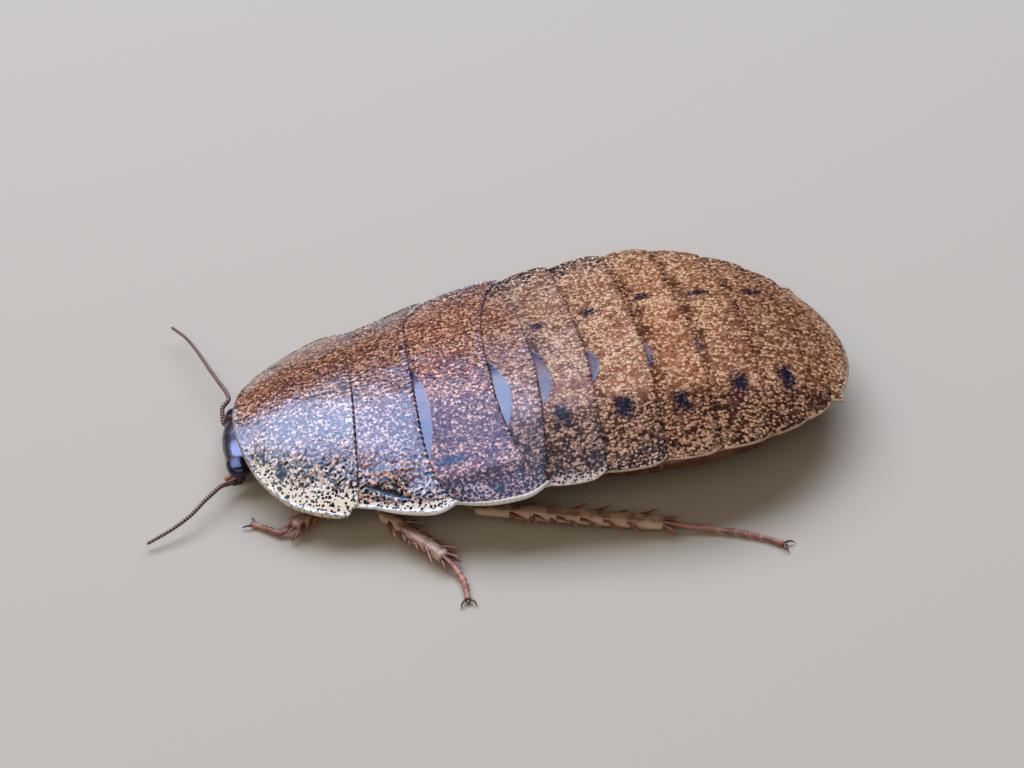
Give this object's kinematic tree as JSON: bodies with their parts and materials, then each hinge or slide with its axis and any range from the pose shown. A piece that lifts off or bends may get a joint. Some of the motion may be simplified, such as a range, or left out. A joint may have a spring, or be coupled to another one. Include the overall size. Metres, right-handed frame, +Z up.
{
  "type": "bark cockroach",
  "caption": "Life-size still bark cockroach: a broad, flat, wingless adult female with overlapping back plates, spiny legs and spread feelers.",
  "frame": {"origin": "on the ground, below the middle of the animal's whole footprint", "axes": "+X from head to tail, +Z up, +Y to the animal's right side"},
  "size_m": [0.031, 0.0204, 0.0039],
  "materials": {
    "pronotum_chitin": "matt, finely granular, cream speckled with dark brown",
    "thorax_chitin": "satin, finely granular, brown speckled with cream and grey-violet",
    "abdomen_chitin": "satin, finely granular, warm brown speckled with tan",
    "underside_chitin": "glossy smooth brown",
    "leg_chitin": "satin tan",
    "tarsus_chitin": "satin red-brown",
    "antenna_chitin": "matt dark brown, ringed",
    "head_chitin": "glossy dark brown",
    "eye_cuticle": "glossy black"
  },
  "bodies": {
    "root": {"antenna_left": "antenna_chitin", "antenna_right": "antenna_chitin", "cercus_left": "underside_chitin", "cercus_right": "underside_chitin", "coxa_fore_left": "underside_chitin", "coxa_fore_right": "underside_chitin", "coxa_hind_left": "underside_chitin", "coxa_hind_right": "underside_chitin", "coxa_mid_left": "underside_chitin", "coxa_mid_right": "underside_chitin", "eye_left": "eye_cuticle", "eye_right": "eye_cuticle", "femur_fore_left": "leg_chitin", "femur_fore_right": "leg_chitin", "femur_hind_left": "leg_chitin", "femur_hind_right": "leg_chitin", "femur_mid_left": "leg_chitin", "femur_mid_right": "leg_chitin", "head": "head_chitin", "mesonotum": "thorax_chitin", "mesothorax_underside": "underside_chitin", "metanotum": "thorax_chitin", "metathorax_underside": "underside_chitin", "mouthparts": "leg_chitin", "palp_left": "leg_chitin", "palp_right": "leg_chitin", "pronotum": "pronotum_chitin", "prothorax_underside": "underside_chitin", "sternite_1": "underside_chitin", "sternite_2": "underside_chitin", "sternite_3": "underside_chitin", "sternite_4": "underside_chitin", "sternite_5": "underside_chitin", "sternite_6": "underside_chitin", "subgenital_plate": "underside_chitin", "supra_anal_plate": "abdomen_chitin", "tarsus_fore_left": "tarsus_chitin", "tarsus_fore_right": "tarsus_chitin", "tarsus_hind_left": "tarsus_chitin", "tarsus_hind_right": "tarsus_chitin", "tarsus_mid_left": "tarsus_chitin", "tarsus_mid_right": "tarsus_chitin", "tergite_1": "abdomen_chitin", "tergite_2": "abdomen_chitin", "tergite_3": "abdomen_chitin", "tergite_4": "abdomen_chitin", "tergite_5": "abdomen_chitin", "tergite_6": "abdomen_chitin", "tergite_7": "abdomen_chitin", "tibia_fore_left": "leg_chitin", "tibia_fore_right": "leg_chitin", "tibia_hind_left": "leg_chitin", "tibia_hind_right": "leg_chitin", "tibia_mid_left": "leg_chitin", "tibia_mid_right": "leg_chitin"}
  },
  "joints": []
}
